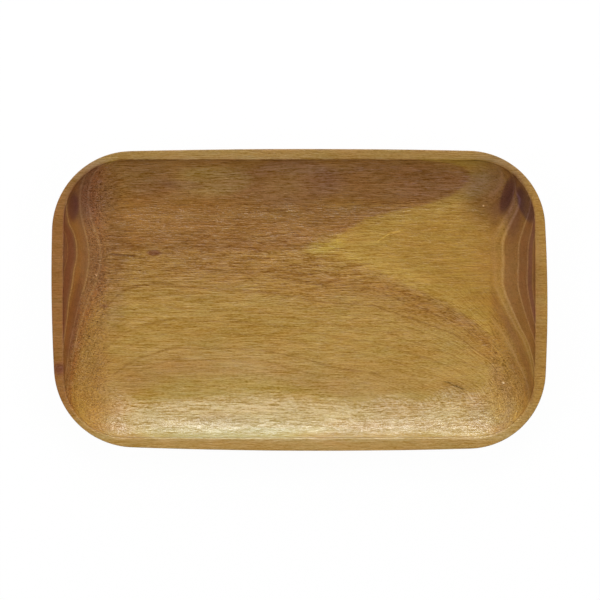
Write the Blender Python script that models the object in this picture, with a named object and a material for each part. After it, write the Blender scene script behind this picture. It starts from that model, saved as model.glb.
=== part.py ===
# A shallow teak tray carved from one board, in metres, with +Z up.
#
# The origin is the middle of the flat foot that the tray rests on. +X runs to the tray's right end and
# +Y to its back edge. Every outline is a closed run of eight arcs: four long side arcs, each with its own
# bow and its own highest point, and four corner arcs that touch their neighbours. The body is one loft
# through three such outlines: the rim's outer edge, the rim's inner edge and the edge of the flat floor.

import math

import bmesh
import bpy
from mathutils import Vector

# Overall size
TRAY_LENGTH = 0.230
TRAY_WIDTH = 0.140
TRAY_HEIGHT = 0.020
FLOOR_THICKNESS = 0.006

# Outer edge, shaped by hand: how far each side bows out, and how far its highest point lies off the middle
BACK_BOW = 0.0019
FRONT_BOW = 0.0027
LEFT_BOW = 0.0030
RIGHT_BOW = 0.0038
BACK_CREST_X = 0.0036
FRONT_CREST_X = 0.0104
LEFT_CREST_Y = 0.0116
RIGHT_CREST_Y = -0.0020
BACK_RIGHT_RADIUS = 0.0360
BACK_LEFT_RADIUS = 0.0373
FRONT_LEFT_RADIUS = 0.0376
FRONT_RIGHT_RADIUS = 0.0362

# Flat rim, widest at the middle of each side, where these widths are measured
BACK_RIM = 0.0050
FRONT_RIM = 0.0060
LEFT_RIM = 0.0055
RIGHT_RIM = 0.0058

# Inner edge of the rim, straighter and tighter than the outer edge, so that the rim thins at the corners
OPENING_END_BOW = 0.0010
OPENING_LONG_BOW = 0.0003
OPENING_CORNER_RADIUS = 0.0280

# Cove between the rim and the flat floor: it comes down to the toe angle, and a small arc eases the rest
COVE_RUN = 0.0205
TOE_ANGLE = math.radians(9)
TOE_RADIUS = 0.0120
FLOOR_CORNER_RADIUS = 0.0140

# Outer wall: an upright band under the rim, then a curve in to the foot
BAND_HEIGHT = 0.0040
FOOT_INSET = 0.0120
WALL_SWEEP = math.radians(74)

# Eased edges on both sides of the rim
OUTER_ARRIS_RADIUS = 0.0006
INNER_ARRIS_RADIUS = 0.0016

# Steps along each kind of curve
CORNER_STEPS = 14
LONG_SIDE_STEPS = 12
END_STEPS = 8
WALL_STEPS = 8
ARRIS_STEPS = 3
COVE_STEPS = 11
TOE_STEPS = 3

SHARP_ANGLE = math.radians(30)

# Teak as the eye sees it from a step away: linear red, green, blue
TEAK_COLOR = (0.37, 0.21, 0.065, 1.0)
TEAK_ROUGHNESS = 0.42


def clear_scene():
    for old in list(bpy.data.objects):
        bpy.data.objects.remove(old, do_unlink=True)


def teak_material():
    teak = bpy.data.materials.new("teak")
    teak.use_nodes = True
    shader = teak.node_tree.nodes["Principled BSDF"]
    shader.inputs["Base Color"].default_value = TEAK_COLOR
    shader.inputs["Roughness"].default_value = TEAK_ROUGHNESS
    shader.inputs["Metallic"].default_value = 0.0
    return teak


def side_circle(highest, outward, half_span, bow):
    """Centre and radius of the circle that bows out by `bow` over `half_span` either side of `highest`."""
    radius = (half_span ** 2 + bow ** 2) / (2 * bow)
    return highest - outward * radius, radius


def corner_circle(first, second, radius, quadrant):
    """Centre of the circle of this radius that touches two side circles from inside, in this quadrant."""
    (centre_a, radius_a), (centre_b, radius_b) = first, second
    reach_a = radius_a - radius
    reach_b = radius_b - radius
    apart = centre_b - centre_a
    distance = apart.length
    along = (reach_a ** 2 - reach_b ** 2 + distance ** 2) / (2 * distance)
    across = math.sqrt(max(reach_a ** 2 - along ** 2, 0.0))
    direction = apart / distance
    normal = Vector((-direction.y, direction.x))
    foot = centre_a + direction * along
    return max((foot + normal * across, foot - normal * across), key=lambda point: point.dot(quadrant))


def bowed_outline(left, right, front, back, bows, crests, corner_radii):
    """Points and outward normals round a closed outline, anticlockwise from the right side's upper end.

    left, right, front and back are where its sides reach. bows and crests are given for the right, back,
    left and front sides, and corner_radii for the corners that follow them.
    """
    half_length = (right - left) / 2
    half_width = (back - front) / 2
    middle = Vector(((right + left) / 2, (back + front) / 2))
    compass = [Vector((1, 0)), Vector((0, 1)), Vector((-1, 0)), Vector((0, -1))]
    sides = []
    for number, outward in enumerate(compass):
        is_end = outward.y == 0
        reach, half_span = (half_length, half_width) if is_end else (half_width, half_length)
        shift = Vector((0, crests[number])) if is_end else Vector((crests[number], 0))
        sides.append(side_circle(middle + outward * reach + shift, outward, half_span, bows[number]))

    corners = []
    for number, radius in enumerate(corner_radii):
        following = (number + 1) % len(sides)
        quadrant = compass[number] + compass[following]
        corners.append((corner_circle(sides[number], sides[following], radius, quadrant), radius))

    points, normals = [], []
    for number in range(len(sides)):
        following = (number + 1) % len(sides)
        corner, corner_radius = corners[number]
        next_corner = corners[following][0]
        start = (corner - sides[number][0]).normalized()
        turn = (corner - sides[following][0]).normalized()
        end = (next_corner - sides[following][0]).normalized()
        side_steps = END_STEPS if compass[following].y == 0 else LONG_SIDE_STEPS
        arcs = [
            (corner, corner_radius, start, turn, CORNER_STEPS),
            (sides[following][0], sides[following][1], turn, end, side_steps),
        ]
        for centre, radius, first, last, steps in arcs:
            first_angle = math.atan2(first.y, first.x)
            sweep = math.atan2(first.x * last.y - first.y * last.x, first.dot(last))
            for step in range(steps):
                angle = first_angle + sweep * step / steps
                normal = Vector((math.cos(angle), math.sin(angle)))
                points.append(centre + normal * radius)
                normals.append(normal)
    return points, normals


def outer_outline():
    return bowed_outline(
        -TRAY_LENGTH / 2, TRAY_LENGTH / 2, -TRAY_WIDTH / 2, TRAY_WIDTH / 2,
        (RIGHT_BOW, BACK_BOW, LEFT_BOW, FRONT_BOW),
        (RIGHT_CREST_Y, BACK_CREST_X, LEFT_CREST_Y, FRONT_CREST_X),
        (BACK_RIGHT_RADIUS, BACK_LEFT_RADIUS, FRONT_LEFT_RADIUS, FRONT_RIGHT_RADIUS),
    )


def inner_outline(inset, corner_radius):
    """The rim's inner edge, or, drawn in by `inset`, a lower outline of the hollow."""
    return bowed_outline(
        -TRAY_LENGTH / 2 + LEFT_RIM + inset, TRAY_LENGTH / 2 - RIGHT_RIM - inset,
        -TRAY_WIDTH / 2 + FRONT_RIM + inset, TRAY_WIDTH / 2 - BACK_RIM - inset,
        (OPENING_END_BOW, OPENING_LONG_BOW, OPENING_END_BOW, OPENING_LONG_BOW),
        (0, 0, 0, 0),
        (corner_radius,) * 4,
    )


def outer_section():
    """Pairs of (distance in from the outer edge, height), from the foot up and over the outer arris."""
    section = []
    wall_height = TRAY_HEIGHT - BAND_HEIGHT
    for step in range(WALL_STEPS + 1):
        angle = WALL_SWEEP * (1 - step / WALL_STEPS)
        inset = FOOT_INSET * (1 - math.cos(angle)) / (1 - math.cos(WALL_SWEEP))
        height = wall_height * (1 - math.sin(angle) / math.sin(WALL_SWEEP))
        section.append((inset, height))
    for step in range(ARRIS_STEPS + 1):
        angle = math.pi / 2 * step / ARRIS_STEPS
        inset = OUTER_ARRIS_RADIUS * (1 - math.cos(angle))
        height = TRAY_HEIGHT - OUTER_ARRIS_RADIUS * (1 - math.sin(angle))
        section.append((inset, height))
    return section


def cove_section():
    """Pairs of (distance in from the rim's inner edge, height), over the inner arris and down the cove.

    The cove is an arc that ends on the floor, COVE_RUN in from the edge, at the toe angle. The inner arris
    is an arc that touches both the flat rim and the cove, so it starts a little outside the inner edge, and
    the toe is an arc that touches both the cove and the floor, so it ends a little beyond the cove.
    """
    depth = TRAY_HEIGHT - FLOOR_THICKNESS
    chord_angle = math.atan2(depth, COVE_RUN)
    cove_radius = math.hypot(COVE_RUN, depth) / (2 * math.sin(chord_angle - TOE_ANGLE))
    cove_inset = COVE_RUN + cove_radius * math.sin(TOE_ANGLE)
    cove_height = FLOOR_THICKNESS + cove_radius * math.cos(TOE_ANGLE)

    arris_height = TRAY_HEIGHT - INNER_ARRIS_RADIUS
    rise = cove_height - arris_height
    arris_inset = cove_inset - math.sqrt((cove_radius + INNER_ARRIS_RADIUS) ** 2 - rise ** 2)
    cove_angle = math.atan2(rise, cove_inset - arris_inset)

    toe_height = FLOOR_THICKNESS + TOE_RADIUS
    drop = cove_height - toe_height
    toe_inset = cove_inset - math.sqrt((cove_radius - TOE_RADIUS) ** 2 - drop ** 2)
    toe_start = math.atan2(drop, cove_inset - toe_inset)

    section = []
    for step in range(ARRIS_STEPS + 1):
        angle = math.pi / 2 + (cove_angle - math.pi / 2) * step / ARRIS_STEPS
        section.append((
            arris_inset + INNER_ARRIS_RADIUS * math.cos(angle),
            arris_height + INNER_ARRIS_RADIUS * math.sin(angle),
        ))
    for step in range(1, COVE_STEPS + 1):
        angle = cove_angle + (toe_start - cove_angle) * step / COVE_STEPS
        section.append((
            cove_inset - cove_radius * math.cos(angle),
            cove_height - cove_radius * math.sin(angle),
        ))
    for step in range(1, TOE_STEPS + 1):
        angle = toe_start + (math.pi / 2 - toe_start) * step / TOE_STEPS
        section.append((
            toe_inset - TOE_RADIUS * math.cos(angle),
            toe_height - TOE_RADIUS * math.sin(angle),
        ))
    return section


def tray_rings():
    """Rings of points from the foot, up the outer wall, over the rim and down the cove to the floor."""
    edge, edge_normals = outer_outline()
    opening, _ = inner_outline(0.0, OPENING_CORNER_RADIUS)
    floor, _ = inner_outline(COVE_RUN, FLOOR_CORNER_RADIUS)
    rings = []
    for inset, height in outer_section():
        rings.append([
            (point - normal * inset).to_3d() + Vector((0, 0, height))
            for point, normal in zip(edge, edge_normals)
        ])
    for inset, height in cove_section():
        share = inset / COVE_RUN
        rings.append([
            rim_point.lerp(floor_point, share).to_3d() + Vector((0, 0, height))
            for rim_point, floor_point in zip(opening, floor)
        ])
    return rings


def lofted_body(name, rings, material):
    """One closed solid through the rings, with its first and last ring filled flat."""
    shape = bmesh.new()
    loops = [[shape.verts.new(point) for point in ring] for ring in rings]
    for lower, upper in zip(loops, loops[1:]):
        for number in range(len(lower)):
            following = (number + 1) % len(lower)
            shape.faces.new((lower[number], lower[following], upper[following], upper[number]))
    foot = shape.faces.new(list(reversed(loops[0])))
    floor = shape.faces.new(loops[-1])
    bmesh.ops.poke(shape, faces=[foot, floor])
    mesh = bpy.data.meshes.new(name)
    shape.to_mesh(mesh)
    shape.free()
    mesh.materials.append(material)
    mesh.shade_smooth()
    mesh.set_sharp_from_angle(angle=SHARP_ANGLE)
    body = bpy.data.objects.new(name, mesh)
    bpy.context.scene.collection.objects.link(body)
    return body


def build_tray():
    clear_scene()
    lofted_body("tray_body", tray_rings(), teak_material())


build_tray()
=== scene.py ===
import math
from types import SimpleNamespace

import bpy
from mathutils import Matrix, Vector


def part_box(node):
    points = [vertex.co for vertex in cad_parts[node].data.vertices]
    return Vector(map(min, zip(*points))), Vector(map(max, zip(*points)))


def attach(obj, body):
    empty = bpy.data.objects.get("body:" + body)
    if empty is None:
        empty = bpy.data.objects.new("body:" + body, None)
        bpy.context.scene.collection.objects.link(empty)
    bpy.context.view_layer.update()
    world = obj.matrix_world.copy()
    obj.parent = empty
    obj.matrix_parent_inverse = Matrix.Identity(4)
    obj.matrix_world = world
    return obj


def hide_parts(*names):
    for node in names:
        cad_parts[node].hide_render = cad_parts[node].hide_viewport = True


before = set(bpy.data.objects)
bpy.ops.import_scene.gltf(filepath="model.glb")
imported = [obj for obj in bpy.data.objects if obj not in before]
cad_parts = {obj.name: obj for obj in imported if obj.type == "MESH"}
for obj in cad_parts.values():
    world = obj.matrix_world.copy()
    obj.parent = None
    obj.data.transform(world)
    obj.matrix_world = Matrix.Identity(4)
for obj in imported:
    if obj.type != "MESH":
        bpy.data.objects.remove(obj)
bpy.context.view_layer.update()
millimetres = 1000.0  # in a metre


class Bench:
    # short ways to add nodes and join them, in a material or in a geometry tree

    def __init__(self, tree):
        self.nodes, self.links = tree.nodes, tree.links
        self.nodes.clear()

    def join(self, value, socket):
        if isinstance(value, bpy.types.NodeSocket):
            self.links.new(value, socket)
        else:
            socket.default_value = value

    def add(self, kind, values=(), **settings):
        node = self.nodes.new(kind if "Node" in kind else "ShaderNode" + kind)
        for setting, value in settings.items():
            setattr(node, setting, value)
        for socket, value in dict(values).items():
            self.join(value, node.inputs[socket])
        return node

    def calc(self, operation, *values, clamp=False):
        return self.add("Math", enumerate(values), operation=operation, use_clamp=clamp).outputs[0]

    def times(self, *values):
        product = values[0]
        for value in values[1:]:
            product = self.calc("MULTIPLY", product, value)
        return product

    def blend(self, share, first, second):
        return self.add("Mix", {0: share, 2: first, 3: second}).outputs[0]

    def vector(self, operation, *values):
        return self.add("VectorMath", enumerate(values), operation=operation).outputs[0]

    def darkened(self, share, color, factor):
        return self.mix(share, color, self.vector("MULTIPLY", color, factor))

    def scaled(self, value, amount):
        return self.add("VectorMath", {0: value, "Scale": amount}, operation="SCALE").outputs[0]

    def tinted(self, color, amount, tint):
        return self.vector("MULTIPLY", color, self.vector("ADD", self.scaled(tint, amount), (1.0, 1.0, 1.0)))

    def parts(self, value):
        return self.add("SeparateXYZ", {0: value}).outputs

    def step(self, value, start, end):
        # rises smoothly from 0 at the start to 1 at the end, which may lie below it
        given = {"Value": value, "From Min": start, "From Max": end}
        return self.add("MapRange", given, interpolation_type="SMOOTHSTEP").outputs[0]

    def mix(self, share, first, second):
        node = self.add("Mix", data_type="RGBA")
        for number, value in ((0, share), (6, first), (7, second)):
            self.join((*value, 1.0) if isinstance(value, tuple) else value, node.inputs[number])
        return node.outputs[2]

    def noise(self, point, given):
        finer = tuple(1 / reach for reach in given["reach"])
        place = self.vector("MULTIPLY_ADD", point, finer, given["seed"])
        return self.add("TexNoise", {"Vector": place, "Scale": 1.0, "Detail": given["detail"]}).outputs[0]

    def wave(self, point, given):
        # noise that swings about 0, by half to each side
        return self.calc("SUBTRACT", self.noise(point, given), 0.5)

    def patch(self, point, given):
        return self.step(self.noise(point, given), given["from"], given["to"])

    def curve(self, place, reach, values):
        # a smooth curve through values that are evenly spaced over the reach
        start, end = reach
        least, most = min(values), max(values)
        share = self.calc("DIVIDE", self.calc("SUBTRACT", place, start), end - start)
        node = self.add("FloatCurve", {"Value": share})
        points = node.mapping.curves[0].points
        for number, value in enumerate(values):
            at = (number / (len(values) - 1), (value - least) / (most - least))
            if number in (0, len(values) - 1):
                points[0 if number == 0 else -1].location = at
            else:
                points.new(*at)
        node.mapping.update()
        return self.calc("MULTIPLY_ADD", node.outputs[0], most - least, least)

    def ramp(self, level, stops):
        start, end = stops[0][0], stops[-1][0]
        share = self.calc("DIVIDE", self.calc("SUBTRACT", level, start), end - start)
        node = self.add("ValToRGB", {0: share})
        elements = node.color_ramp.elements
        for number, (ring, color, alpha) in enumerate(stops):
            at = (ring - start) / (end - start)
            element = elements[number] if number < 2 else elements.new(at)
            element.position = at
            element.color = (*color, alpha)
        return node.outputs

    def zones(self, level, stops):
        return self.ramp(level, [(ring, tones[tone], openness) for ring, tone, openness in stops])

    def lines(self, level, given):
        stops = []
        for ring, half, strength in given:
            stops += [(ring - half, 0.0), (ring, strength), (ring + half, 0.0)]
        return self.ramp(level, [(ring, (share,) * 3, 1.0) for ring, share in stops])["Color"]

    def spot(self, point, given):
        turned = self.add("Mapping", {
            "Vector": point, "Location": (*given["place"], 0.0),
            "Rotation": (0.0, 0.0, math.radians(given.get("turn", 0))), "Scale": (*given["reach"], 1.0),
        }, vector_type="TEXTURE").outputs[0]
        away = self.add("VectorMath", {0: turned}, operation="LENGTH").outputs["Value"]
        return self.step(away, 1.0 + given["soft"] / 2, 1.0 - given["soft"] / 2)


# The tray: its size comes from the frame; its bows, crests and corner radii are the CAD solid's, which were
# fitted by least squares to the edge seen from above

low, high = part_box("tray_body")

tray = {
    "left": low.x, "right": high.x,
    "front": low.y, "back": high.y,
    "height": high.z,
    "floorThickness": 0.006,
    "sideOrder": ("right", "back", "left", "front"),
    "bow": {"right": 0.0038, "back": 0.0019, "left": 0.0030, "front": 0.0027},
    # how far off the middle of each side its highest point lies
    "crest": {"right": -0.0020, "back": 0.0036, "left": 0.0116, "front": 0.0104},
    "cornerRadius": (0.0360, 0.0373, 0.0376, 0.0362),  # back right, back left, front left, front right
    "rim": {"right": 0.0058, "back": 0.0050, "left": 0.0055, "front": 0.0060},
    "openingBow": {"right": 0.0010, "back": 0.0003, "left": 0.0010, "front": 0.0003},
    "openingRadius": 0.0280,
    "floorRadius": 0.0140,
    "coveRun": 0.0205,
    # how far the front cove's toe strays outward at even steps from left to right, and where that sets in
    "toeStray": (
        0.0020, 0.0032, 0.0024, 0.0010, 0.0002, -0.0016, 0.0004, 0.0018, 0.0036, 0.0, 0.0032, -0.0034, 0.0018,
    ),
    "toeStraySpan": 0.084, "toeStrayDepth": (0.030, 0.042),
    "toeAngle": math.radians(9),  # how steeply the cove meets the floor before its toe is blended
    "toeRadius": 0.012,
    "bandHeight": 0.0040,
    "footInset": 0.0120,
    "wallSweep": math.radians(74),
    "outerArris": 0.0003,
    "innerArris": 0.0016,
    "cornerSteps": 56, "endSteps": 56, "longSteps": 72,
    "footRows": 10, "wallRows": 16, "arrisRows": 5, "rimShares": (0.33, 0.50),
    "coveRows": 30, "toeRows": 6, "floorRows": 40,
    "weldDistance": 0.000002,
    "toolMarkDepth": 0.00075, "toolMarkSize": 0.032, "toolMarkDetail": 1.0, "seed": 4.0,
    "outsideShare": 0.2, "outsideFade": 4, "insideFade": 10,  # rows over which the tool marks set in
}

compass = {
    "right": Vector((1, 0)), "back": Vector((0, 1)), "left": Vector((-1, 0)), "front": Vector((0, -1)),
}
stretches = {"foot": 0, "wall": 1, "rim": 2, "cove": 3, "floor": 4}  # between one rail and the next


def cornerCentre(first, second, radius, quadrant):
    (centreA, radiusA), (centreB, radiusB) = first, second
    reachA, reachB = radiusA - radius, radiusB - radius  # the corner touches both side circles from inside
    apart = centreB - centreA
    along = (reachA ** 2 - reachB ** 2 + apart.length_squared) / (2 * apart.length)
    across = math.sqrt(max(reachA ** 2 - along ** 2, 0))
    ahead = apart.normalized()
    foot = centreA + ahead * along
    sideways = Vector((-ahead.y, ahead.x)) * across
    return max((foot + sideways, foot - sideways), key=lambda point: point.dot(quadrant))


def bowedOutline(reach, bow, crest, cornerRadii):
    # four bowed sides and four corners, anticlockwise, as points with their outward normals
    order = tray["sideOrder"]
    middle = Vector(((reach["right"] + reach["left"]) / 2, (reach["back"] + reach["front"]) / 2))
    halfLength = (reach["right"] - reach["left"]) / 2
    halfWidth = (reach["back"] - reach["front"]) / 2
    sides = {}
    for side in order:
        outward = compass[side]
        isEnd = outward.y == 0
        distance, halfSpan = (halfLength, halfWidth) if isEnd else (halfWidth, halfLength)
        shift = Vector((0, crest[side])) if isEnd else Vector((crest[side], 0))
        radius = (halfSpan ** 2 + bow[side] ** 2) / (2 * bow[side])
        sides[side] = (middle + outward * (distance - radius) + shift, radius)
    corners = []
    for number, side in enumerate(order):
        following = order[(number + 1) % 4]
        quadrant = compass[side] + compass[following]
        corners.append(cornerCentre(sides[side], sides[following], cornerRadii[number], quadrant))
    points, normals = [], []
    for number, side in enumerate(order):
        following = order[(number + 1) % 4]
        corner, nextCorner = corners[number], corners[(number + 1) % 4]
        start = (corner - sides[side][0]).normalized()
        turn = (corner - sides[following][0]).normalized()
        end = (nextCorner - sides[following][0]).normalized()
        sideSteps = tray["endSteps"] if compass[following].y == 0 else tray["longSteps"]
        arcs = (
            (corner, cornerRadii[number], start, turn, tray["cornerSteps"]),
            (*sides[following], turn, end, sideSteps),
        )
        for centre, radius, first, last, steps in arcs:
            firstAngle = math.atan2(first.y, first.x)
            sweep = math.atan2(first.x * last.y - first.y * last.x, first.dot(last))
            for step in range(steps):
                angle = firstAngle + sweep * step / steps
                normal = Vector((math.cos(angle), math.sin(angle)))
                points.append(centre + normal * radius)
                normals.append(normal)
    return points, normals


def hollowOutline(inset, cornerRadius):
    reach = {}
    for side, outward in compass.items():
        reach[side] = tray[side] - (outward.x + outward.y) * (tray["rim"][side] + inset)
    level = {side: 0.0 for side in compass}
    return bowedOutline(reach, tray["openingBow"], level, (cornerRadius,) * 4)[0]


def strayOfToe(point):
    # the front toe was cut by eye and isn't a straight line
    strays, span = tray["toeStray"], tray["toeStraySpan"]
    place = min(max((point.x / span + 1) / 2, 0.0), 1.0) * (len(strays) - 1)
    before = min(int(place), len(strays) - 2)
    ease = (1 - math.cos(math.pi * (place - before))) / 2
    shallow, deep = tray["toeStrayDepth"]
    atFront = min(max((-point.y - shallow) / (deep - shallow), 0.0), 1.0)
    return Vector((0, -atFront * (strays[before] + (strays[before + 1] - strays[before]) * ease)))


def trayRails():
    # foot centre, foot edge, outer edge, rim's inner edge, floor edge, floor centre
    reach = {side: tray[side] for side in compass}
    edge, normals = bowedOutline(reach, tray["bow"], tray["crest"], tray["cornerRadius"])
    foot = [point - normal * tray["footInset"] for point, normal in zip(edge, normals)]
    opening = hollowOutline(0.0, tray["openingRadius"])
    floor = [point + strayOfToe(point) for point in hollowOutline(tray["coveRun"], tray["floorRadius"])]
    middle = [Vector((0, 0))] * len(edge)
    return [middle, foot, edge, opening, floor, middle]


def trayStations():
    # each station is a share of the way from one rail to the next, the number of that stretch and a height
    height, floorTop = tray["height"], tray["floorThickness"]
    onWall, onCove = stretches["wall"], stretches["cove"]
    stations = [(row / tray["footRows"], stretches["foot"], 0.0) for row in range(tray["footRows"])]

    wallHeight = height - tray["bandHeight"]
    sweep = tray["wallSweep"]
    for row in range(tray["wallRows"] + 1):
        angle = sweep * (1 - row / tray["wallRows"])
        drawnIn = (1 - math.cos(angle)) / (1 - math.cos(sweep))
        stations.append((1 - drawnIn, onWall, wallHeight * (1 - math.sin(angle) / math.sin(sweep))))
    for row in range(tray["arrisRows"] + 1):
        angle = math.pi / 2 * row / tray["arrisRows"]
        drawnIn = tray["outerArris"] * (1 - math.cos(angle)) / tray["footInset"]
        stations.append((1 - drawnIn, onWall, height - tray["outerArris"] * (1 - math.sin(angle))))
    stations += [(share, stretches["rim"], height) for share in tray["rimShares"]]

    run, depth = tray["coveRun"], height - floorTop
    chordAngle = math.atan2(depth, run)
    coveRadius = math.hypot(run, depth) / (2 * math.sin(chordAngle - tray["toeAngle"]))
    coveX = run + coveRadius * math.sin(tray["toeAngle"])
    coveZ = floorTop + coveRadius * math.cos(tray["toeAngle"])

    arris = tray["innerArris"]
    rise = coveZ - (height - arris)
    arrisX = coveX - math.sqrt((coveRadius + arris) ** 2 - rise ** 2)
    rimAngle = math.atan2(rise, coveX - arrisX)
    for row in range(tray["arrisRows"] + 1):
        angle = math.pi / 2 + (rimAngle - math.pi / 2) * row / tray["arrisRows"]
        across = arrisX + arris * math.cos(angle)
        stations.append((across / run, onCove, height - arris + arris * math.sin(angle)))

    toe = tray["toeRadius"]
    toeZ = floorTop + toe
    toeX = coveX - math.sqrt((coveRadius - toe) ** 2 - (coveZ - toeZ) ** 2)
    toeStart = math.atan2(coveZ - toeZ, coveX - toeX)
    for row in range(1, tray["coveRows"] + 1):
        angle = rimAngle + (toeStart - rimAngle) * row / tray["coveRows"]
        across = coveX - coveRadius * math.cos(angle)
        stations.append((across / run, onCove, coveZ - coveRadius * math.sin(angle)))
    for row in range(1, tray["toeRows"] + 1):
        angle = toeStart + (math.pi / 2 - toeStart) * row / tray["toeRows"]
        across = toeX - toe * math.cos(angle)
        stations.append((across / run, onCove, toeZ - toe * math.sin(angle)))

    toeShare = 1 - (toeX - run) / (tray["back"] - tray["rim"]["back"] - run)
    for row in range(1, tray["floorRows"] + 1):
        stations.append((1 - toeShare * (1 - row / tray["floorRows"]), stretches["floor"], floorTop))
    return stations


def pointCloud(name, points):
    mesh = bpy.data.meshes.new(name)
    mesh.from_pydata(points, [], [])
    cloud = bpy.data.objects.new(name, mesh)
    bpy.context.scene.collection.objects.link(cloud)
    return cloud


def loftTree():
    tree = bpy.data.node_groups.new("trayLoft", "GeometryNodeTree")
    bench = Bench(tree)
    sockets = {}
    for name, kind in (
        ("Rails", "Object"), ("Stations", "Object"), ("Points Round", "Int"), ("Rows", "Int"),
        ("Foot Rows", "Int"), ("Outside Rows", "Int"), ("Outside Share", "Float"),
        ("Tool Mark Depth", "Float"), ("Tool Mark Size", "Float"), ("Seed", "Float"), ("Wood", "Material"),
    ):
        socket = tree.interface.new_socket(name, in_out="INPUT", socket_type="NodeSocket" + kind)
        sockets[name] = socket.identifier
    tree.interface.new_socket("Geometry", in_out="OUTPUT", socket_type="NodeSocketGeometry")
    given = bench.add("NodeGroupInput").outputs
    pointsRound, rows = given["Points Round"], given["Rows"]

    def whole(operation, first, second):
        return bench.add("FunctionNodeIntegerMath", {0: first, 1: second}, operation=operation).outputs[0]

    def pointOf(cloud, index):
        info = bench.add("GeometryNodeObjectInfo", {"Object": cloud}, transform_space="ORIGINAL")
        position = bench.add("GeometryNodeInputPosition").outputs[0]
        sample = bench.add("GeometryNodeSampleIndex", {
            "Geometry": info.outputs["Geometry"], "Value": position, "Index": index,
        }, data_type="FLOAT_VECTOR", domain="POINT")
        return sample.outputs["Value"]

    def fadeIn(row, start, steps):
        return bench.step(row, start, whole("ADD", start, steps))

    grid = bench.add("GeometryNodeMeshGrid", {
        "Vertices X": whole("ADD", pointsRound, 1), "Vertices Y": rows,
    }).outputs["Mesh"]
    number = bench.add("GeometryNodeInputIndex").outputs[0]
    column = whole("MODULO", whole("DIVIDE", number, rows), pointsRound)
    row = whole("MODULO", number, rows)

    # each point lies on the way from its rail to the next one, at its station's height
    share, stretch, height = bench.parts(pointOf(given["Stations"], row))
    rail = bench.add("FunctionNodeFloatToInt", {0: stretch}).outputs[0]
    onRail = whole("ADD", whole("MULTIPLY", rail, pointsRound), column)
    onNextRail = whole("ADD", onRail, pointsRound)
    between = bench.add("Mix", {
        "Factor": share, 4: pointOf(given["Rails"], onRail), 5: pointOf(given["Rails"], onNextRail),
    }, data_type="VECTOR", clamp_factor=False).outputs[1]
    plan = bench.parts(between)
    place = bench.add("CombineXYZ", {"X": plan["X"], "Y": plan["Y"], "Z": height}).outputs[0]

    outside = bench.times(fadeIn(row, given["Foot Rows"], tray["outsideFade"]), given["Outside Share"])
    inside = fadeIn(row, given["Outside Rows"], tray["insideFade"])
    marked = bench.add("GeometryNodeStoreNamedAttribute", {
        "Geometry": grid, "Name": "carved", "Value": bench.calc("MAXIMUM", outside, inside),
    }, data_type="FLOAT", domain="POINT").outputs[0]
    lofted = bench.add("GeometryNodeSetPosition", {"Geometry": marked, "Position": place}).outputs[0]
    closed = bench.add("GeometryNodeMergeByDistance", {
        "Geometry": lofted, "Distance": tray["weldDistance"],
    }).outputs[0]

    # the hollows that hand tools leave go into the wood and never out of it
    marks = bench.add("TexNoise", {
        "Scale": bench.calc("DIVIDE", 1.0, given["Tool Mark Size"]),
        "W": given["Seed"], "Detail": tray["toolMarkDetail"],
    }, noise_dimensions="4D").outputs[0]
    carvedHere = bench.add("GeometryNodeInputNamedAttribute", {"Name": "carved"}, data_type="FLOAT")
    hollow = bench.times(
        bench.calc("MAXIMUM", marks, 0.0), carvedHere.outputs["Attribute"], given["Tool Mark Depth"])
    inward = bench.scaled(bench.add("GeometryNodeInputNormal").outputs[0], bench.times(hollow, -1.0))
    carved = bench.add("GeometryNodeSetPosition", {"Geometry": closed, "Offset": inward}).outputs[0]

    smooth = bench.add("GeometryNodeSetShadeSmooth", {"Geometry": carved}).outputs[0]
    real = bench.add("GeometryNodeRealizeInstances", {"Geometry": smooth}).outputs[0]
    painted = bench.add("GeometryNodeSetMaterial", {"Geometry": real, "Material": given["Wood"]}).outputs[0]
    bench.add("NodeGroupOutput", {"Geometry": painted})
    return tree, sockets


def makeTray(wood):
    rails = trayRails()
    stations = trayStations()
    outsideRows = sum(stretch < stretches["cove"] for share, stretch, height in stations)
    railCloud = pointCloud("trayRails", [(point.x, point.y, 0) for rail in rails for point in rail])
    stationCloud = pointCloud("trayStations", stations)
    blank = pointCloud("trayBlank", [(0, 0, 0)])
    tree, sockets = loftTree()
    loft = blank.modifiers.new("loft", "NODES")
    loft.node_group = tree
    for name, value in (
        ("Rails", railCloud), ("Stations", stationCloud),
        ("Points Round", len(rails[0])), ("Rows", len(stations)),
        ("Foot Rows", tray["footRows"]), ("Outside Rows", outsideRows),
        ("Outside Share", tray["outsideShare"]),
        ("Tool Mark Depth", tray["toolMarkDepth"]), ("Tool Mark Size", tray["toolMarkSize"]),
        ("Seed", tray["seed"]), ("Wood", wood),
    ):
        loft[sockets[name]] = value
    bpy.context.view_layer.update()
    shaped = blank.evaluated_get(bpy.context.evaluated_depsgraph_get())
    mesh = bpy.data.meshes.new_from_object(shaped)
    mesh.name = "tray"
    mesh.attributes.remove(mesh.attributes["carved"])
    for helper in (blank, railCloud, stationCloud):
        bpy.data.objects.remove(helper)
    piece = bpy.data.objects.new("tray", mesh)
    bpy.context.scene.collection.objects.link(piece)
    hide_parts("tray_body")
    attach(piece, "root")
    print("tray:", len(mesh.vertices), "points,", len(mesh.polygons), "faces")


# The wood: growth rings cut by the tray's surface, with open vessels that run along X

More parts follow.
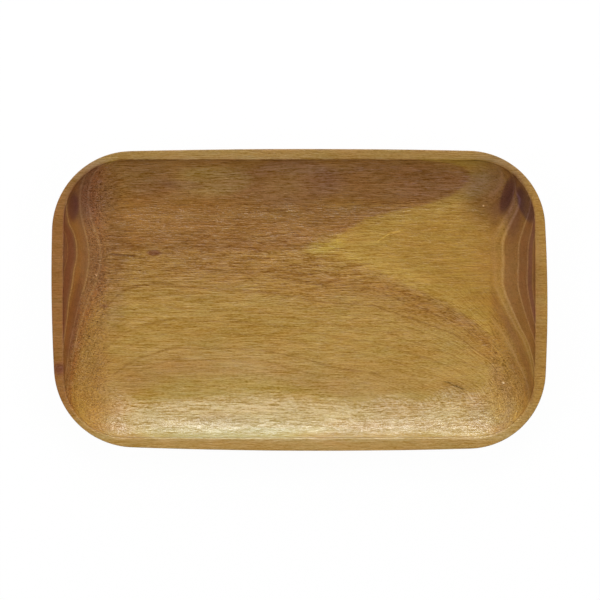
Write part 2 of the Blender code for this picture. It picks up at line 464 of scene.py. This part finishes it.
# the tones, and the ring levels where they change, were chosen near medians that a script printed for the
# real surface with its shading divided out, and were then adjusted against renders
tones = {
    "maroon": (0.190, 0.062, 0.022), "russet": (0.206, 0.080, 0.030), "chestnut": (0.236, 0.097, 0.022),
    "clay": (0.238, 0.102, 0.023), "auburn": (0.266, 0.104, 0.019), "cocoa": (0.236, 0.106, 0.030),
    "sienna": (0.252, 0.112, 0.018), "umber": (0.262, 0.117, 0.021), "olive": (0.287, 0.148, 0.036),
    "khaki": (0.278, 0.157, 0.037), "brown": (0.297, 0.142, 0.022), "fawn": (0.308, 0.161, 0.029),
    "tan": (0.326, 0.168, 0.029), "gold": (0.332, 0.176, 0.024), "brass": (0.374, 0.214, 0.036),
    "honey": (0.366, 0.212, 0.043), "straw": (0.368, 0.242, 0.058), "hay": (0.340, 0.240, 0.066),
    "oat": (0.354, 0.208, 0.056), "sand": (0.450, 0.252, 0.074),
}

# these lists began as a least-squares fit to traced growth lines: most values of the first four and the
# roundness are still the fit's, rounded, and so are some of the waves and stretches
rings = {
    # millimetres, like every length in this dictionary; each list runs evenly from the left end to the right
    "length": (-115.0, 115.0),
    "depth": (-10.9, -4.8, -2.7, -3.8, -4.1, -4.85, -5.9, -7.9, -10.6, -15.1, -17.0),
    "heartLine": (22.7, 23.2, 23.4, 23.0, 22.7, 22.9, 25.5, 29.4, 29.3, 25.2, 19.2),
    "spreadBack": (0.63, 0.65, 0.68, 0.72, 0.77, 0.88, 0.84, 0.95, 0.97, 0.98, 0.97),
    "spreadFront": (0.42, 0.54, 0.65, 0.72, 0.72, 0.68, 0.61, 0.56, 0.54, 0.55, 0.57),
    "roundness": 23.75,
    # on the end walls the levels wave along the width once they pass the two levels given, and those past the
    # pivot are stretched; these lists run evenly from the front to the back
    "width": (-48.0, 48.0),
    "leftWave": (-1.0, -1.0, -0.3, 0.0, -0.3, -1.1, -0.7, 0.0, 0.3), "leftFrom": (-6.0, -9.5),
    "leftStretch": (1.0, 1.0, 1.05, 1.1, 0.95, 0.95, 1.2, 0.8, 0.7), "leftPivot": -15.5,
    "rightWave": (-0.6, -0.6, 0.3, -1.0, -1.4, -0.3, 0.7, 0.1, -2.1), "rightFrom": (-16.2, -19.0),
}

# each stop is a ring level, a tone and how open the pores are there: behind the heart line, in front of it
# and on the two end walls
ringZones = {
    "back": (
        (-22.0, "gold", 0.2), (-14.0, "gold", 0.2), (-12.2, "brass", 0.3), (-10.9, "gold", 0.5),
        (-10.5, "umber", 0.8), (-8.5, "sienna", 0.7), (-5.0, "sienna", 0.6), (-3.0, "cocoa", 0.6),
        (5.0, "olive", 0.6),
    ),
    "front": (
        (-22.0, "gold", 0.2), (-14.5, "gold", 0.2), (-12.2, "brass", 0.3), (-11.3, "brass", 0.5),
        (-10.8, "fawn", 0.9), (-9.4, "brown", 1.0), (-7.8, "tan", 0.8), (-4.5, "honey", 0.5),
        (3.0, "honey", 0.4), (13.5, "oat", 0.3), (17.0, "straw", 0.3), (20.5, "hay", 0.3),
    ),
    "left": (
        (-30.0, "russet", 0.2), (-27.5, "maroon", 0.0), (-23.4, "maroon", 0.0), (-22.4, "russet", 0.0),
        (-20.0, "auburn", 0.1), (-19.0, "auburn", 0.0), (-16.2, "chestnut", 0.1),
        (-15.2, "chestnut", 0.6), (-13.2, "chestnut", 0.9), (-11.0, "auburn", 1.0), (-7.5, "brown", 1.0),
        (-3.0, "tan", 0.7), (3.0, "tan", 0.8), (8.0, "tan", 0.7),
    ),
    "right": (
        (-37.0, "chestnut", 0.1), (-34.6, "chestnut", 0.1), (-33.4, "russet", 0.0),
        (-31.8, "russet", 0.0), (-30.2, "chestnut", 0.1), (-27.8, "chestnut", 0.1),
        (-26.4, "umber", 0.5), (-25.2, "umber", 0.1), (-22.8, "umber", 0.1), (-22.0, "tan", 0.3),
        (-20.6, "tan", 0.3), (-19.6, "brown", 0.2), (-18.4, "umber", 0.1), (-16.6, "umber", 0.1),
        (-15.6, "brown", 0.4), (-13.6, "tan", 0.5), (-12.0, "brown", 0.5), (-10.4, "fawn", 0.8),
        (-8.0, "tan", 0.9), (-5.0, "olive", 0.9), (-2.0, "tan", 0.8),
    ),
}

# thin growth lines: ring level, half its width and how much it shows
growthLines = {
    "front": (
        (-8.6, 0.25, 0.60), (-6.2, 0.25, 1.00), (-4.4, 0.25, 0.60), (-2.2, 0.30, 0.50),
        (0.4, 0.35, 0.60), (3.4, 0.35, 0.50), (7.4, 0.40, 0.90), (10.6, 0.45, 0.50),
    ),
    "left": (
        (-27.4, 0.6, 0.35), (-21.2, 0.55, 0.85), (-15.6, 0.5, 0.55), (-12.4, 0.5, 0.45),
    ),
    "right": (
        (-34.2, 0.5, 0.45), (-31.1, 0.5, 0.70), (-27.0, 0.5, 0.80), (-22.2, 0.55, 0.95),
        (-20.4, 0.6, 0.60), (-14.2, 0.7, 0.55),
    ),
}

rimTones = {"left": "clay", "right": "fawn", "back": "khaki", "front": "oat"}

# single marks: place and reach in millimetres, turn in degrees where there is one, the factor that the colour
# gets, and how soft the edge is
marks = {
    "knot": {"place": (-68.2, 22.1), "reach": (3.3, 1.4), "factor": (0.58, 0.40, 0.40), "soft": 0.7},
    "knotStreak": {
        "place": (-83.0, 20.9), "reach": (8.0, 0.6), "turn": -3, "factor": (0.68, 0.60, 0.50), "soft": 0.8,
    },
    "tongueTip": {
        "place": (12.5, 26.0), "reach": (9.5, 4.0), "turn": 18, "factor": (1.14, 1.30, 1.18), "soft": 0.9,
    },
    # painted shade: the next six marks darken the back corners; the narrow ones are partly wood figure
    "maroonAndShadeOne": {
        "place": (97.1, 49.2), "reach": (2.7, 9.2), "turn": -15, "factor": (0.54, 0.45, 0.72), "soft": 0.6,
    },
    "maroonAndShadeTwo": {
        "place": (105.0, 44.1), "reach": (2.8, 8.6), "turn": 20, "factor": (0.54, 0.51, 1.05), "soft": 0.5,
    },
    "paintedShadeBackRight": {"place": (89.5, 50.5), "reach": (12.0, 14.5), "factor": (0.64, 0.59, 1.02), "soft": 1.1},
    "maroonAndShadeLeft": {
        "place": (-105.2, 43.2), "reach": (2.3, 6.6), "turn": -4, "factor": (0.56, 0.47, 0.90), "soft": 0.8,
    },
    "paintedShadeBackLeft": {
        "place": (-96.0, 49.5), "reach": (10.0, 13.0), "turn": -10, "factor": (0.75, 0.71, 1.25), "soft": 1.2,
    },
    "bandAndShadeRight": {
        "place": (100.3, 42.5), "reach": (3.9, 13.5), "turn": -4, "factor": (0.74, 0.68, 0.98), "soft": 0.9,
    },
    "rightWall": {"place": (104.5, 0.0), "reach": (8.0, 52.0), "factor": (0.91, 0.91, 1.15), "soft": 0.5},
    "finger": {
        "place": (-54.5, 53.7), "reach": (10.0, 2.2), "turn": -3, "factor": (0.84, 0.77, 0.84), "soft": 0.8,
    },
    "leftFoot": {"place": (-87.5, 13.0), "reach": (6.5, 30.0), "factor": (0.84, 0.81, 0.94), "soft": 1.2},
    # painted shade: the next two marks darken the floor at the back left and in front of the back wall
    "paintedShadeFloorLeft": {"place": (-55.0, 16.0), "reach": (32.0, 14.0), "factor": (0.93, 0.91, 0.95), "soft": 1.2},
    "paintedShadeBelowBack": {"place": (20.0, 43.5), "reach": (46.0, 7.5), "factor": (0.87, 0.88, 0.87), "soft": 1.2},
    "frontLeft": {"place": (-72.0, -35.0), "reach": (36.0, 8.5), "factor": (0.91, 0.85, 0.76), "soft": 1.2},
    "coolLeft": {"place": (-73.0, 57.0), "reach": (13.0, 7.0), "factor": (0.97, 1.03, 1.36), "soft": 1.0},
    "paleUnder": {
        "place": (29.0, 14.0), "reach": (25.0, 7.0), "turn": -17, "factor": (1.07, 1.09, 1.05), "soft": 1.2,
    },
    "warmFront": {"place": (-41.0, -48.5), "reach": (46.0, 7.0), "factor": (1.09, 1.01, 0.90), "soft": 1.2},
    # painted shade: darkens the colour to tone down the highlight on a carved facet of the front wall
    "paintedShadeFacet": {"place": (-37.0, -56.0), "reach": (13.0, 2.8), "factor": (0.86, 0.83, 0.76), "soft": 1.1},
    "toeShade": {"place": (75.5, -42.5), "reach": (9.0, 4.5), "factor": (0.87, 0.84, 0.78), "soft": 1.4},
    "coolFront": {"place": (48.0, -51.0), "reach": (36.0, 8.0), "factor": (1.00, 1.07, 1.04), "soft": 1.2},
    "backRight": {"place": (66.0, 53.0), "reach": (22.0, 9.0), "factor": (0.95, 0.98, 1.30), "soft": 1.1},
    "creamRight": {"place": (70.0, -57.6), "reach": (29.0, 6.5), "factor": (0.96, 1.02, 1.08), "soft": 0.9},
    "brownRun": {
        "place": (-105.4, -9.5), "reach": (2.4, 19.0), "turn": -9, "factor": (0.76, 0.66, 0.80), "soft": 0.6,
    },
    # painted highlight: a paler, bluer strip along the top of the front wall, where the lamps reflect
    "paintedHighlightFrontTop": {"place": (0.0, -62.3), "reach": (92.0, 3.0), "factor": (1.04, 1.19, 1.60), "soft": 0.8},
    # painted light: a paler, bluer strip along the top of the back wall, for a faint reflection there
    "paintedLightBackTop": {"place": (-26.0, 62.4), "reach": (82.0, 3.8), "factor": (1.09, 1.15, 1.62), "soft": 0.8},
    "paleLeft": {
        "place": (-104.6, -28.0), "reach": (5.5, 14.0), "turn": 4, "factor": (1.14, 1.17, 1.42), "soft": 1.0,
    },
    # painted highlight: a paler, bluer patch in the front right corner, where the reflection reaches
    "paintedHighlightCorner": {"place": (94.6, -52.5), "reach": (6.5, 9.0), "factor": (1.07, 1.18, 1.42), "soft": 1.0},
    # painted shade: darkens the colour just inside that corner to tone down the highlight there
    "paintedShadeCorner": {"place": (83.9, -53.4), "reach": (6.0, 7.0), "factor": (0.86, 0.82, 0.74), "soft": 1.2},
    "rightFoot": {"place": (88.5, 18.0), "reach": (6.0, 18.0), "factor": (0.95, 0.90, 0.95), "soft": 1.2},
    "rimStain": {
        "place": (-111.4, -31.9), "reach": (2.6, 2.8), "turn": 10, "factor": (0.66, 0.52, 0.90), "soft": 1.2,
    },
    "oliveWall": {"place": (-41.0, 55.5), "reach": (18.0, 6.5), "factor": (1.18, 1.42, 1.60), "soft": 0.5},
    "lens": {"place": (42.0, 55.0), "reach": (38.0, 9.0), "factor": (0.90, 0.87, 1.24), "soft": 0.6},
    "brownFinger": {
        "place": (106.5, -41.8), "reach": (1.6, 6.0), "turn": 9, "factor": (0.78, 0.74, 0.76), "soft": 0.7,
    },
    "smear": {"place": (-91.5, -2.9), "reach": (2.0, 0.9), "factor": (0.78, 0.66, 0.70), "soft": 0.9},
    "scratchLow": {
        "place": (39.4, 29.2), "reach": (3.6, 0.35), "turn": 33, "factor": (1.35, 1.45, 1.60), "soft": 0.7,
    },
    "scratchHigh": {
        "place": (45.4, 31.9), "reach": (3.2, 0.35), "turn": 14, "factor": (1.45, 1.55, 1.90), "soft": 0.7,
    },
    "chip": {"place": (95.3, -38.7), "reach": (0.6, 0.5), "factor": (2.0, 2.6, 5.0), "soft": 0.6},
    "chipLeft": {"place": (-95.3, 11.6), "reach": (0.5, 0.5), "factor": (2.0, 2.4, 4.0), "soft": 0.6},
    "chipRight": {"place": (86.2, 44.1), "reach": (0.4, 0.4), "factor": (2.0, 2.4, 4.0), "soft": 0.6},
}

# where each area of the surface begins and where it is full: millimetres, or a part of the surface's normal
areas = {
    "endTilt": (0.02, 0.28), "endPlace": (84.0, 94.0),
    "rimHeight": (18.9, 19.8), "rimTilt": (0.80, 0.98),
    "rimLength": (-60.0, 60.0), "rimWidth": (-66.0, 66.0), "rimLongSide": (42.0, 64.0),
    "behindHeart": (-1.5, 1.5),
    "leftStretch": (2.0, -1.0),  # counted from the pivot
    "floorStreaks": (6.9, 6.2), "streaksInFront": (-10.0, -34.0), "streaksAlong": (0.0, 88.0),
    "floorLines": (6.6, 6.1), "linesInFront": (-41.0, -33.0),
    "shadedEdgeTilt": (0.9, 0.3), "shadedEdgeHeight": (18.8, 19.4),
    "inside": (2.0, 5.0),
    "dryEnds": (79.0, 94.0), "dryHeight": (18.7, 19.6), "oiledTilt": (0.1, 0.6),
}

grain = {
    # noises: reach along X, across and upward in millimetres, and how much each one sways or shades the wood
    "longStreak": {"reach": (24.0, 1.4, 1.4), "detail": 2.0, "gain": 0.36, "seed": (1.7, 3.1, 0.4)},
    "cloud": {"reach": (40.0, 14.0, 14.0), "detail": 2.0, "gain": 0.48, "seed": (6.2, 1.9, 3.3)},
    "layer": {"reach": (14.0, 14.0, 0.55), "detail": 2.0, "gain": 0.24, "seed": (2.9, 7.7, 4.1)},
    "fibre": {"reach": (1.5, 0.34, 0.34), "detail": 1.0, "gain": 1.20, "seed": (9.1, 0.8, 6.5)},
    "streak": {"reach": (7.0, 0.50, 0.50), "detail": 2.0, "gain": 1.80, "seed": (5.3, 8.6, 2.2)},
    "ringStreak": {"reach": (5.0, 4.0, 0.19), "detail": 2.0, "seed": (4.4, 0.6, 8.3)},
    "ringWander": {"reach": (30.0, 9.0, 9.0), "detail": 1.0, "gain": 0.6, "seed": (0.3, 4.4, 9.2)},
    "edgeFeather": {"reach": (9.0, 0.9, 0.9), "detail": 1.0, "gain": 0.7, "seed": (7.4, 2.5, 1.2)},
    "endDot": {"reach": (1.6, 0.75, 0.75), "detail": 1.0, "gain": 1.16, "seed": (6.6, 2.8, 3.7)},
    "hue": {"reach": (16.0, 5.0, 5.0), "detail": 2.0, "seed": (1.1, 6.6, 7.9)},
    # patches: the noise at which each one begins and is full
    "pore": {"reach": (5.5, 0.42, 0.42), "detail": 1.0, "seed": (3.8, 6.1, 8.7), "from": 0.575, "to": 0.69},
    "chalk": {"reach": (4.5, 0.5, 0.5), "detail": 1.0, "seed": (8.2, 5.6, 0.9), "from": 0.60, "to": 0.72},
    "flush": {"reach": (9.0, 4.0, 4.0), "detail": 2.0, "seed": (4.9, 9.3, 5.0), "from": 0.60, "to": 0.72},
    "lineDots": {"reach": (1.2, 0.9, 0.9), "detail": 1.0, "seed": (2.2, 3.9, 7.1), "from": 0.30, "to": 0.62},
    # how many streaks follow the rings: least and most on the floor, and what an end wall adds
    "ringStreakShare": (0.10, 0.80), "endRingShare": 0.5,
    "endSway": 0.25,  # how much of the wander is left on the end walls
    "sideLiveliness": (0.64, 0.76),  # how much streaks show where the pores are shut, and what open ones add
    "endLiveliness": (0.35, 1.20), "rimLiveliness": 0.75,
    "tint": (0.76, 1.02, 2.20), "endTint": (0.85, 1.02, 1.60),  # how far the three colours follow the streaks
    "hueShift": (0.14, -0.10, -0.20), "darkestColor": (0.004, 0.002, 0.001),
    "lineColor": (0.76, 0.68, 0.54), "lineShare": 0.90, "lineGapShare": 0.4,  # pale lines are broken by gaps
    "poreColor": (0.72, 0.62, 0.48), "poreShare": 0.75, "endPoreShare": 0.4,
    "chalkTone": (0.50, 0.32, 0.13), "chalkShare": 0.40,
    "flushTone": (0.40, 0.235, 0.10), "flushShare": 0.25,
    "shadedEdgeColor": (0.45, 0.38, 0.34),
    "markFray": 0.5,  # millimetres by which streaks push the edges of the marks about
    "bumpDepth": 0.00009, "bumpStrength": 0.8, "poreRelief": -0.5,
    "roughness": (0.24, 0.50), "toneRoughness": -0.35, "poreRoughness": 0.10, "sheen": 0.38, "ior": 1.5,
}

# the finish that lies on the wood
oil = {"weight": 0.72, "follows": 2.7, "roughness": 0.18, "atEnds": 0.15, "atRim": 0.3}


def ringLevel(bench, point):
    # how far out from the heart of the log a point lies, and how far behind the heart line it is
    x, y, z = bench.parts(point)
    depth, heartLine, spreadBack, spreadFront = (
        bench.curve(x, rings["length"], rings[name])
        for name in ("depth", "heartLine", "spreadBack", "spreadFront"))
    behind = bench.calc("SUBTRACT", y, heartLine)
    spread = bench.blend(bench.step(behind, *areas["behindHeart"]), spreadFront, spreadBack)
    sideways = bench.calc("POWER", bench.times(behind, spread), 2.0)
    bowed = bench.calc("SQRT", bench.calc("ADD", sideways, rings["roundness"] ** 2))
    level = bench.calc("SUBTRACT", bench.calc("ADD", depth, bowed), rings["roundness"])
    return bench.calc("SUBTRACT", level, z), behind


def readSurface(bench):
    # the place on the board in millimetres, and shares that say which area of the tray it lies in
    source = bench.add("TexCoord").outputs
    point = bench.scaled(source["Object"], millimetres)
    x, y, z = bench.parts(point)
    tilt = bench.parts(source["Normal"])
    steep = bench.step(bench.calc("ABSOLUTE", tilt["X"]), *areas["endTilt"])
    begins, full = areas["endPlace"]
    isLeft = bench.times(steep, bench.step(x, -begins, -full))
    isRight = bench.times(steep, bench.step(x, begins, full))
    onRim = bench.times(bench.step(z, *areas["rimHeight"]), bench.step(tilt["Z"], *areas["rimTilt"]))
    plain, behind = ringLevel(bench, point)
    return SimpleNamespace(
        point=point, x=x, y=y, z=z, tiltZ=tilt["Z"],
        isLeft=isLeft, isRight=isRight, isEnd=bench.calc("ADD", isLeft, isRight),
        onRim=onRim, offRim=bench.calc("SUBTRACT", 1.0, onRim),
        plain=plain, behind=behind, isBack=bench.step(behind, *areas["behindHeart"]),
        inRings=bench.add("CombineXYZ", {0: x, 1: y, 2: plain}).outputs[0],
    )


def swayedLevel(bench, at):
    # the ring level that the colours read: waved and stretched on the end walls, and a little unsteady
    level = at.plain
    for side, share in (("left", at.isLeft), ("right", at.isRight)):
        wave = bench.curve(at.y, rings["width"], rings[side + "Wave"])
        reached = bench.times(share, bench.step(at.plain, *rings[side + "From"]))
        level = bench.calc("MULTIPLY_ADD", wave, reached, level)
    stretch = bench.curve(at.y, rings["width"], rings["leftStretch"])
    pivot = rings["leftPivot"]
    stretched = bench.calc("MULTIPLY_ADD", bench.calc("SUBTRACT", level, pivot), stretch, pivot)
    begins, full = areas["leftStretch"]
    isStretched = bench.times(at.isLeft, bench.step(level, pivot + begins, pivot + full))
    level = bench.blend(isStretched, level, stretched)
    steady = bench.calc("MULTIPLY_ADD", at.isEnd, grain["endSway"] - 1.0, 1.0)
    for name in ("ringWander", "edgeFeather"):
        sway = bench.times(bench.wave(at.point, grain[name]), steady)
        level = bench.calc("MULTIPLY_ADD", sway, grain[name]["gain"], level)
    return level


def ringColors(bench, at, level):
    # the colour and the openness of the pores that the rings give
    zones = {name: bench.zones(level, stops) for name, stops in ringZones.items()}
    color = bench.mix(at.isBack, zones["front"]["Color"], zones["back"]["Color"])
    openness = bench.blend(at.isBack, zones["front"]["Alpha"], zones["back"]["Alpha"])
    for share, side in ((at.isLeft, "left"), (at.isRight, "right")):
        color = bench.mix(share, color, zones[side]["Color"])
        openness = bench.blend(share, openness, zones[side]["Alpha"])
    return color, openness


def streakTone(bench, at, openness):
    # how much streaks, fibres, dots and clouds lighten or darken the wood
    few, many = grain["ringStreakShare"]  # towards the front right the streaks follow the rings
    followsRings = bench.times(
        bench.calc("MULTIPLY_ADD", bench.step(at.x, *areas["streaksAlong"]), many - few, few),
        bench.step(at.behind, *areas["streaksInFront"]), bench.step(at.z, *areas["floorStreaks"]))
    followsRings = bench.calc("MULTIPLY_ADD", at.isEnd, grain["endRingShare"], followsRings)
    streaks = bench.blend(
        followsRings, bench.wave(at.point, grain["streak"]), bench.wave(at.inRings, grain["ringStreak"]))
    tone = bench.times(streaks, grain["streak"]["gain"])
    tone = bench.calc("MULTIPLY_ADD", bench.wave(at.point, grain["fibre"]), grain["fibre"]["gain"], tone)
    onSide, onEnd = (
        bench.calc("MULTIPLY_ADD", openness, more, still)
        for still, more in (grain["sideLiveliness"], grain["endLiveliness"]))
    lively = bench.blend(at.onRim, bench.blend(at.isEnd, onSide, onEnd), grain["rimLiveliness"])
    tone = bench.times(tone, lively)
    dots = bench.times(bench.wave(at.point, grain["endDot"]), at.isEnd, openness, grain["endDot"]["gain"])
    tone = bench.calc("ADD", tone, dots)
    for name, place in (("longStreak", at.point), ("layer", at.inRings), ("cloud", at.point)):
        tone = bench.calc("MULTIPLY_ADD", bench.wave(place, grain[name]), grain[name]["gain"], tone)
    return tone


def rimColor(bench, at):
    # the flat rim is one cut, so its colour goes with the place on the board
    sides = {side: tones[tone] for side, tone in rimTones.items()}
    acrossRim = bench.mix(bench.step(at.x, *areas["rimLength"]), sides["left"], sides["right"])
    alongRim = bench.mix(bench.step(at.y, *areas["rimWidth"]), sides["front"], sides["back"])
    isLong = bench.step(bench.calc("ABSOLUTE", at.y), *areas["rimLongSide"])
    return bench.mix(isLong, acrossRim, alongRim)


def withLines(bench, at, level, color):
    # dark growth lines on the floor in front of the heart line, and pale broken ones on the end walls
    elsewhere = bench.calc("MAXIMUM", at.isEnd, bench.calc("MAXIMUM", at.onRim, at.isBack))
    dark = bench.times(
        bench.lines(level, growthLines["front"]), bench.calc("SUBTRACT", 1.0, elsewhere),
        bench.step(at.z, *areas["floorLines"]), bench.step(at.y, *areas["linesInFront"]))
    color = bench.darkened(dark, color, grain["lineColor"])
    onLeft = bench.times(bench.lines(level, growthLines["left"]), at.isLeft)
    onRight = bench.times(bench.lines(level, growthLines["right"]), at.isRight)
    inGaps = grain["lineGapShare"]
    dots = bench.calc("MULTIPLY_ADD", bench.patch(at.point, grain["lineDots"]), 1.0 - inGaps, inGaps)
    pale = bench.times(bench.calc("ADD", onLeft, onRight), dots, at.offRim, grain["lineShare"])
    return bench.mix(pale, color, tones["sand"])


def withMarks(bench, at, tone, color):
    # the single marks, which fray along the grain and don't reach the outside
    frayed = bench.calc("MULTIPLY_ADD", tone, grain["markFray"], at.y)
    place = bench.add("CombineXYZ", {0: at.x, 1: frayed}).outputs[0]
    isInside = bench.step(at.z, *areas["inside"])
    for given in marks.values():
        color = bench.darkened(bench.times(bench.spot(place, given), isInside), color, given["factor"])
    return color


def oilShine(bench, at, tone):
    # dark grain drinks the oil, the ends get less of it, and handling wears it off the rim's inner edge
    shine = bench.calc("MULTIPLY_ADD", tone, oil["follows"], oil["weight"])
    towardEnds = bench.step(bench.calc("ABSOLUTE", at.x), *areas["dryEnds"])
    wornEdge = bench.step(at.z, *areas["dryHeight"])
    for dry, left in ((towardEnds, oil["atEnds"]), (wornEdge, oil["atRim"])):
        shine = bench.times(shine, bench.calc("MULTIPLY_ADD", dry, left - 1.0, 1.0))
    return bench.calc("MULTIPLY", shine, bench.step(at.tiltZ, *areas["oiledTilt"]), clamp=True)


def teakWood():
    wood = bpy.data.materials.new("teakWood")
    wood.use_nodes = True
    bench = Bench(wood.node_tree)
    at = readSurface(bench)
    level = swayedLevel(bench, at)
    color, openness = ringColors(bench, at, level)
    tone = streakTone(bench, at, openness)
    color = bench.mix(at.onRim, color, rimColor(bench, at))
    openness = bench.times(openness, at.offRim)

    tints = {"Factor": at.isEnd, 4: grain["tint"], 5: grain["endTint"]}
    tint = bench.add("Mix", tints, data_type="VECTOR").outputs[1]
    color = bench.tinted(color, tone, tint)
    color = bench.tinted(color, bench.wave(at.point, grain["hue"]), grain["hueShift"])
    color = bench.vector("MAXIMUM", color, grain["darkestColor"])
    color = withLines(bench, at, level, color)

    # open vessels, pale flecks, and painted shade along the rim's rounded edges
    pores = bench.patch(at.point, grain["pore"])
    fewerAtEnds = bench.calc("MULTIPLY_ADD", at.isEnd, grain["endPoreShare"] - 1.0, 1.0)
    poreShare = bench.times(pores, grain["poreShare"], openness, fewerAtEnds)
    color = bench.darkened(poreShare, color, grain["poreColor"])
    for name in ("chalk", "flush"):
        share = bench.times(bench.patch(at.point, grain[name]), grain[name + "Share"], openness)
        color = bench.mix(share, color, grain[name + "Tone"])
    # painted shade: the colour darkens along the rim's rounded edges
    shadedEdge = bench.times(
        bench.step(at.tiltZ, *areas["shadedEdgeTilt"]), bench.step(at.z, *areas["shadedEdgeHeight"]))
    color = bench.darkened(shadedEdge, color, grain["shadedEdgeColor"])
    color = withMarks(bench, at, tone, color)

    relief = bench.calc("MULTIPLY_ADD", pores, grain["poreRelief"], tone)
    bump = bench.add("Bump", {
        "Height": relief, "Distance": grain["bumpDepth"], "Strength": grain["bumpStrength"],
    }).outputs[0]
    smooth, rough = grain["roughness"]
    worn = bench.calc("MULTIPLY_ADD", tone, grain["toneRoughness"], (smooth + rough) / 2)
    roughness = bench.calc("MULTIPLY_ADD", poreShare, grain["poreRoughness"], worn)
    roughness = bench.calc("MINIMUM", bench.calc("MAXIMUM", roughness, smooth), rough)
    shader = bench.add("BsdfPrincipled", {
        "Base Color": color, "Roughness": roughness, "Normal": bump,
        "Coat Weight": oilShine(bench, at, tone), "Coat Normal": bump,
    })
    shader.inputs["IOR"].default_value = grain["ior"]
    shader.inputs["Specular IOR Level"].default_value = grain["sheen"]
    shader.inputs["Coat Roughness"].default_value = oil["roughness"]
    bench.add("OutputMaterial", {"Surface": shader.outputs[0]})
    print("wood:", len(bench.nodes), "nodes")
    return wood


# The studio

studio = {
    "skyColor": (1.0, 1.0, 1.0), "skyStrength": 0.08,
    "lamps": {
        "lowWindow": {"size": (1.1, 0.26), "place": (0.0, 1.23, 0.14), "power": 13.8, "mirrored": True},
        "middleWindow": {"size": (1.0, 0.42), "place": (0.0, 1.01, 0.73), "power": 2.75, "mirrored": True},
        "highWindow": {"size": (0.8, 0.30), "place": (0.0, 0.70, 1.03), "power": 4.1, "mirrored": True},
        "leftFill": {"size": (1.0, 0.6), "place": (-0.88, 0.0, 0.88), "power": 8.4, "mirrored": False},
        "rightFill": {"size": (1.0, 0.6), "place": (0.88, 0.0, 0.88), "power": 8.4, "mirrored": False},
        "frontFill": {"size": (1.0, 0.6), "place": (0.0, -1.02, 0.72), "power": 1.5, "mirrored": False},
    },
    "floorReach": 12.0, "floorDrop": -0.0002, "floorColor": (0.9, 0.9, 0.9),
    "floorGlow": 0.97,  # how white the camera and reflections see the floor
    "cameraHeight": 1.2, "cameraOffset": (0.00026, -0.00006), "sensorWidth": 0.036,
    "photoWidth": 600, "trayPixels": 496.6,
}


def makeFloor():
    reach, drop = studio["floorReach"], studio["floorDrop"]
    mesh = bpy.data.meshes.new("studioFloor")
    corners = [(-reach, -reach, drop), (reach, -reach, drop), (reach, reach, drop), (-reach, reach, drop)]
    mesh.from_pydata(corners, [], [(0, 1, 2, 3)])
    floor = bpy.data.objects.new("studioFloor", mesh)
    bpy.context.scene.collection.objects.link(floor)
    paper = bpy.data.materials.new("whitePaper")
    paper.use_nodes = True
    bench = Bench(paper.node_tree)
    matte = bench.add("BsdfDiffuse", {"Color": (*studio["floorColor"], 1)}).outputs[0]
    glow = bench.add("Emission", {"Strength": 1.0}).outputs[0]
    path = bench.add("LightPath").outputs
    seen = path["Is Camera Ray"]
    for ray in ("Is Glossy Ray", "Is Transmission Ray"):
        seen = bench.calc("MAXIMUM", seen, path[ray])
    white = bench.add("MixShader", {0: bench.times(seen, studio["floorGlow"]), 1: matte, 2: glow}).outputs[0]
    bench.add("OutputMaterial", {"Surface": white})
    mesh.materials.append(paper)
    print("floor:", 2 * reach, "m wide")


def makeLight():
    world = bpy.data.worlds.new("softSky")
    bpy.context.scene.world = world
    world.use_nodes = True
    sky = world.node_tree.nodes["Background"]
    sky.inputs["Color"].default_value = (*studio["skyColor"], 1)
    sky.inputs["Strength"].default_value = studio["skyStrength"]
    for name, given in studio["lamps"].items():
        lamp = bpy.data.lights.new(name, "AREA")
        lamp.shape = "RECTANGLE"
        lamp.size, lamp.size_y = given["size"]
        lamp.energy = given["power"]
        window = bpy.data.objects.new(name, lamp)
        window.location = given["place"]
        window.rotation_euler = (-window.location).to_track_quat("-Z", "Y").to_euler()
        window.visible_glossy = given["mirrored"]  # the fills lift the shade without a highlight of their own
        bpy.context.scene.collection.objects.link(window)
    print("light:", len(studio["lamps"]), "lamps")


def makeCamera():
    pixelSize = (tray["right"] - tray["left"]) / studio["trayPixels"]
    distance = studio["cameraHeight"]
    lens = studio["sensorWidth"] * distance / (pixelSize * studio["photoWidth"])
    data = bpy.data.cameras.new("topCamera")
    data.sensor_width = studio["sensorWidth"] * millimetres
    data.lens = lens * millimetres
    camera = bpy.data.objects.new("topCamera", data)
    camera.location = (*studio["cameraOffset"], tray["height"] + distance)
    bpy.context.scene.collection.objects.link(camera)
    bpy.context.scene.camera = camera
    print("camera:", round(data.lens, 1), "mm lens,", distance, "m above the rim")


makeTray(teakWood())
makeFloor()
makeLight()
makeCamera()
bpy.context.scene.view_settings.view_transform = "Standard"
